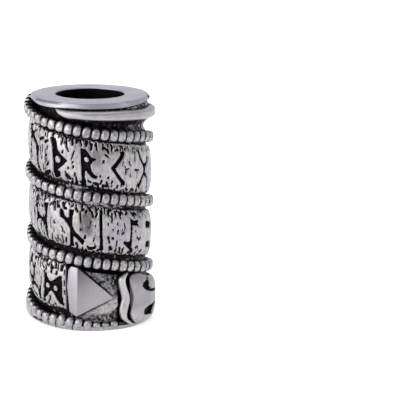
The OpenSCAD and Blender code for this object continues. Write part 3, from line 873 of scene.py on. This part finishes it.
def makeFoot(about):
    angles = np.linspace(about["from"], about["to"], 720)[:, None]
    top = flow(angles, about["top"])
    share = np.concatenate([np.linspace(0, 0.3, 14)[:-1], np.linspace(0.3, 1, 28)])[None, :]
    z = share * top
    bottom, rounding, reach = (flow(angles, about["edges"], k) for k in (1, 2, 3))
    bowed = bottom + (reach - bottom) * np.sqrt(1 - (1 - np.clip(z / rounding, 0, 1)) ** 2)
    bare = soften(angles, *about["bare"])
    fall = about["lip"] * np.clip((share - 0.72) / 0.28, 0, 1) ** 2.4 * bare
    radius = bowed - fall + 0.01 * ripple(angles * 0.35, share * 3, 6)
    gap = wire["gap"]
    fromJoint = np.abs((angles - wire["phase"]) % gap - gap / 2) * np.radians(reach)
    joined = soften(z, 0.1, 0.75 * top)
    for at in about["longJoints"]:
        joined = np.maximum(joined, 0.85 * soften(-np.abs(angles - at), -3, -1) * soften(z, 0.02, 0.1))
    groove = np.exp(-(fromJoint / about["jointHalf"]) ** 2) * joined * (1 - bare) * soften(angles, *about["grooved"])
    at, wide, level, thick = about["slit"]
    slit = np.exp(-((z - level) / thick) ** 2) * soften(-np.abs(angles - at), -wide, -wide + 4)
    radius = radius - about["joint"] * groove - about["slitDeep"] * slit
    surface = polar(angles, radius, z)
    surface[:, 0, :2] *= 0.97
    black = np.maximum(soften(slit, 0.15, 0.5), 0.95 * soften(groove, 0.2, 0.7))
    reliefPiece("foot", surface, black, castSteel)


makeFoot(foot)


# Spear point: seven corners round its foot, raised to a ridge along the blunt end and a sharp tip.
# Corners are angle, z, radius. Shade is z, painted shade of the broad facet.
spear = {
    "corners": [(249.6, 5.38, 5.36), (252.9, 5.76, 5.55), (259, 5.67, 5.75), (292.3, 2.87, 5.45), (258.3, 1.35, 5.75),
                (250.6, 1.66, 5.36), (248.3, 3.9, 5.4)],
    "foot": 4.5, "wallTo": 5, "ridge": 5.75, "edge": 0.045, "tipFrom": 1.2, "tipWall": 0.35,
    "shade": [(1.3, 0.37), (2.9, 0.35), (3.1, 0.35), (5.7, 0.55)],
}


def makeSpear(about):
    bm = bmesh.new()
    patina = bm.verts.layers.float.new("patina")
    foot = [bm.verts.new(polar(a, about["foot"], z) * mm) for a, z, r in about["corners"]]
    base = bm.faces.new(foot)
    made = bmesh.ops.extrude_face_region(bm, geom=[base])["geom"]
    top = [g for g in made if isinstance(g, bmesh.types.BMVert)]
    for v in top:
        a, z, r = min(about["corners"], key=lambda c: (Vector(polar(c[0], about["foot"], c[1]) * mm) - v.co).length)
        v.co = polar(a, r, z) * mm
    ridge = [v for v in top if abs(farOut(v) - about["ridge"]) < 0.01]
    bmesh.ops.connect_verts(bm, verts=ridge)
    bmesh.ops.recalc_face_normals(bm, faces=bm.faces)
    sharp = [e for e in bm.edges if all(farOut(v) > about["wallTo"] for v in e.verts)]
    bmesh.ops.bevel(bm, geom=sharp, offset=about["edge"] * mm, segments=2, profile=0.5, affect="EDGES", material=-1)
    for v in bm.verts:  # its wall is black, and less so by the tip
        wall = about["tipWall"] if v.co.x > about["tipFrom"] * mm else 1
        v[patina] = 0 if farOut(v) > about["wallTo"] else wall
    outer = [f for f in bm.faces if all(farOut(v) > about["wallTo"] for v in f.verts)]
    for v in max(outer, key=lambda f: f.calc_area()).verts:  # painted shade: the broad facet is darker than the one at the blunt end, more so towards its top
        v[patina] = straight(v.co.z / mm, about["shade"])
    for edge in bm.edges:
        edge.smooth = edge.calc_face_angle(0) < math.radians(25)
    for face in bm.faces:
        face.smooth = True
    showPiece(bm, "spearPoint", spearSteel)


makeSpear(spear)


# Pebbled bed round the spear point. It is lighter in a strip along the spear's lower edge: strip is how far
# under the edge it starts, is whole, ends and fades, and lit is the angle where it starts, is whole and is widest.
# A painted shadow runs under the spear's lower edge and black along its upper one, the dims are darker places, and
# each ends between its two angles.
bed = {
    "from": 966.5, "to": 1019, "low": -2.62, "high": 2.1, "crown": 5.04, "step": 0.05,
    "strip": (0.14, 0.24, 0.24, 0.34), "growth": 0.85, "lit": (988, 996, 1012), "tone": 0.58, "pebble": 0.07,
    "shadowLine": (990, 1006), "overLine": (1009.5, 1012), "overDim": (988, 996), "bluntDim": (969.5, 971),
}


def makeBed(about):
    arc = coil["arc"]
    start, end, low, high = (about[key] for key in ("from", "to", "low", "high"))
    angles = evenly(start, end, about["step"], arc)
    heights = evenly(low, high, about["step"])
    angle, height = np.meshgrid(angles, heights, indexing="ij")
    x, z = angle * arc, bandZ(angle) + height
    pebble = ripple(x * 4.5, height * 4.5, 14) * 0.5 + ripple(x * 9, height * 9, 15) * 0.5
    rim = np.maximum(soften(height, high - 0.3, high), soften(angle, end - 0.9, end))
    top, tip, bottom = spear["corners"][2:5]
    along = (angle - 720 - bottom[0]) / (tip[0] - bottom[0])
    under = bottom[1] + along * (tip[1] - bottom[1]) - z
    over = z - (top[1] + along * (tip[1] - top[1]))
    near, full, deep, fade = about["strip"]
    first, whole, last = about["lit"]
    deep = deep + about["growth"] * soften(angle, first, last)
    strip = soften(under, near, full) * (1 - soften(under - deep, 0, fade)) * soften(angle, first, whole)
    # painted shadow: a dark line just under the spear's lower edge
    shade = (1 - soften(np.abs(under - 0.06), 0.06, 0.14)) * (1 - 1.1 * soften(angle, *about["shadowLine"]))
    radius = about["crown"] + about["pebble"] * pebble - 0.3 * rim + 0.1 * strip
    black = (about["tone"] - 0.24 * pebble - (0.45 - 0.12 * pebble) * strip - 0.05 * (under > 0) + 0.36 * shade
             + 0.08 * soften(under, 0.7, 1.1) + rim)
    # black along the spear's upper edge, and darker towards its blunt end
    black = black + 0.8 * (1 - soften(np.abs(over - 0.02), 0.05, 0.18)) * (1 - soften(angle, *about["overLine"]))
    black = black + 0.14 * soften(over, 0.2, 0.5) * (1 - soften(angle, *about["overDim"]))
    black = black + 0.26 * (1 - soften(angle, *about["bluntDim"]))
    reliefPiece("pebbledBed", polar(angle, radius, z), np.clip(black, 0, 1), castSteel)


makeBed(bed)


# The wavy collar and the head, whose edge repeats its wave. The collar's rows are z, left angle, right angle.
# The head's edge rows are z, angle, and its rows are angle, upper z, lower z, share of its full height.
collar = {
    "low": 0.06, "high": 4.93,
    "rows": [(0.06, 313.6, 317.6), (0.2, 310.6, 314.9), (0.4, 306.7, 312.1), (0.63, 303.2, 309.3),
             (0.87, 300.3, 306.8), (1.15, 299.1, 306.0), (1.50, 298.4, 306.7), (1.70, 298.4, 307.3),
             (2.00, 299.0, 308.2), (2.30, 299.9, 309.1), (2.60, 300.7, 309.5), (2.90, 300.3, 309.1),
             (3.20, 299.5, 308.1), (3.57, 298.2, 306.4), (3.90, 297.5, 305.2), (4.20, 297.1, 304.5),
             (4.55, 297.7, 304.9), (4.72, 299.5, 306.0), (4.86, 302.7, 307.1), (4.93, 305.1, 307.7)],
    "edge": 5.3, "crown": 5.66, "bow": 3.4,
}
head = {
    "edge": 5.2, "crown": 5.81, "bowLow": 3.3, "bowUp": 4.2, "edgeMean": 309, "edgeFade": 34, "eyeDepth": 0.4,
    "fineTo": 316,
    "edgeRows": [(0.0, 320.6), (0.15, 318.7), (0.33, 316.1), (0.49, 313.6), (0.75, 311.2), (1.10, 309.6),
                 (1.50, 310.0), (1.99, 311.5), (2.49, 312.3), (3.17, 311.0), (3.79, 309.2), (4.19, 309.0),
                 (4.45, 309.7), (4.6, 311.5), (4.75, 314.6)],
    "rows": [(309, 4.66, 0.04, 0.45), (309.6, 4.68, 0.04, 0.72), (310.8, 4.71, 0.04, 0.88), (313.5, 4.74, 0.04, 0.97),
             (318, 4.72, 0.04, 1), (330, 4.46, 0.04, 1), (337, 4.2, 0.04, 1), (346, 3.94, 0.04, 1),
             (357, 3.78, 0.1, 1), (375, 3.58, 0.3, 1), (400, 3.2, 0.8, 0.94), (414, 2.95, 1.18, 0.85),
             (422, 2.76, 1.42, 0.62), (426, 2.6, 1.62, 0.3)],
    "eyes": [
        [(322.6, 3.55), (324.4, 3.8), (328.2, 3.86), (331, 3.98), (333, 4.3), (335, 4.5), (336.6, 4.42), (335.6, 4.0),
         (335, 3.6), (335.8, 3.22), (338.5, 2.92), (348, 2.76), (358, 2.56), (357, 2.44), (348, 2.54), (339.7, 2.71),
         (329.9, 3.02), (325.1, 3.31)],
        [(325.2, 1.16), (326.2, 1.36), (330.8, 1.5), (339.9, 1.52), (348, 1.56), (357, 1.44), (349, 1.27),
         (345.4, 1.06), (344.4, 0.83), (345.6, 0.5), (338, 0.68), (334.2, 0.75), (330.1, 0.77), (326.6, 0.95)],
    ],
}


def makeCollar(about):
    z = np.linspace(about["low"], about["high"], 120)[:, None]
    left, right = (flow(z, about["rows"], k) for k in (1, 2))
    across = np.sin(np.linspace(-1, 1, 29) * np.pi / 2)[None, :]
    angle = (left + right) / 2 - across * (right - left) / 2
    bow = np.sqrt(np.clip(1 - np.abs(across) ** about["bow"], 0, 1))
    raised = soften(z, -0.15, 0.5) * (1 - 0.35 * soften(z, 4.6, 4.95))
    radius = about["edge"] + (about["crown"] - about["edge"]) * raised * bow
    black = np.broadcast_to(soften(-bow, -0.3, -0.02), radius.shape)
    reliefPiece("wavyCollar", polar(angle, radius, z), black, collarSteel)


def makeHead(about):
    first, fine, last = about["rows"][0][0], about["fineTo"], about["rows"][-1][0]
    angles = np.concatenate([np.linspace(first, fine, 26), np.linspace(fine + 0.4, last, 200)])[:, None]
    upper, lower, raised = (flow(angles, about["rows"], k) for k in (1, 2, 3))
    even = np.linspace(-1, 1, 96)[None, :]
    across = np.sin(even * np.pi / 2) * 0.35 + even * 0.65
    z = (upper + lower) / 2 + across * (upper - lower) / 2
    shift = (flow(z, about["edgeRows"]) - about["edgeMean"]) * np.clip(1 - (angles - first) / about["edgeFade"], 0, 1)
    angle = angles + shift
    bow = np.where(across < 0, 1 - np.abs(across) ** about["bowLow"], 1 - np.abs(across) ** about["bowUp"])
    radius = about["edge"] + (about["crown"] - about["edge"]) * raised * np.sqrt(np.clip(bow, 0, 1))
    cuts = np.zeros_like(radius)
    arc = math.radians(about["crown"])
    for eye in about["eyes"]:
        corners = [(a * arc, h) for a, h in eye]
        cuts = np.maximum(cuts, soften(-outsideOutline(angle * arc, z, corners), -0.05, 0.05))
    black = np.maximum(soften(cuts, 0.02, 0.3), soften(about["edge"] - radius, -0.12, 0))
    radius = radius - cuts * about["eyeDepth"]
    reliefPiece("serpentHead", polar(angle, radius, z), black, headSteel)


makeCollar(collar)
makeHead(head)
makeHollow("shoulder", hollows["shoulder"], lambda a: flow(a, head["rows"]) - 0.4, lambda a: wireZ(a + 720) - 0.1)
print("relief made")


# Floor and light: a pale floor in a plain white studio, with the main light from the left.
studio = {
    "floorSize": 1.5, "floor": (0.93, 0.93, 0.93, 1), "floorSpots": (0.95, 0.95, 0.95, 1), "glow": 0.42,
    "sky": 0.74, "back": 0.3, "side": 0.15, "air": (0.985, 0.98, 1, 1),
    "lights": [  # name, place, width, height, strength, colour
        ("key", (-262, -170, 110), 420, 260, 0.8, (1, 0.978, 0.93)),
        ("fill", (300, -200, 140), 260, 260, 0.1, (0.98, 0.975, 1)),
        ("top", (0, 60, 420), 380, 380, 0.4, (0.97, 0.965, 1)),
    ],
}


def makeStudio(about):
    paint = bpy.data.materials.new("paleFloor")
    start = cleared(paint)
    place = start.make("ShaderNodeTexCoord", {}, {}, "Object")
    tone = start.blended(start.noise(place, 30) * 0.3, about["floor"], about["floorSpots"])
    surface = start.make("ShaderNodeBsdfPrincipled", {}, {
        "Base Color": tone, "Roughness": 0.9, "Emission Color": (1, 1, 1, 1), "Emission Strength": about["glow"]})
    surface.intoOutput("ShaderNodeOutputMaterial")
    bm = bmesh.new()
    bmesh.ops.create_grid(bm, x_segments=8, y_segments=8, size=about["floorSize"])
    floor = fromBmesh(bm, "floor", paint)
    world = bpy.data.worlds.new("studio")
    bpy.context.scene.world = world
    air = cleared(world)
    toward = air.make("ShaderNodeTexCoord", {}, {}, "Generated")
    sideways, backwards = (air.make("ShaderNodeSeparateXYZ", {}, {0: toward}, k) for k in (0, 1))
    strength = about["sky"] - sideways * about["side"] + backwards * about["back"]
    background = air.make("ShaderNodeBackground", {}, {"Color": about["air"], "Strength": strength})
    background.intoOutput("ShaderNodeOutputWorld")
    for name, at, wide, high, strength, colour in about["lights"]:
        data = bpy.data.lights.new(name, "AREA")
        data.shape, data.size, data.size_y = "RECTANGLE", wide * mm, high * mm
        data.energy, data.color = strength, colour
        lamp = newObject(name, data)
        lamp.location = Vector(at) * mm
        lamp.rotation_mode = "QUATERNION"
        lamp.rotation_quaternion = (Vector(camera["aim"]) - Vector(at)).to_track_quat("-Z", "Y")
    bpy.context.scene.view_settings.view_transform = "Standard"


makeStudio(studio)
print("studio made")
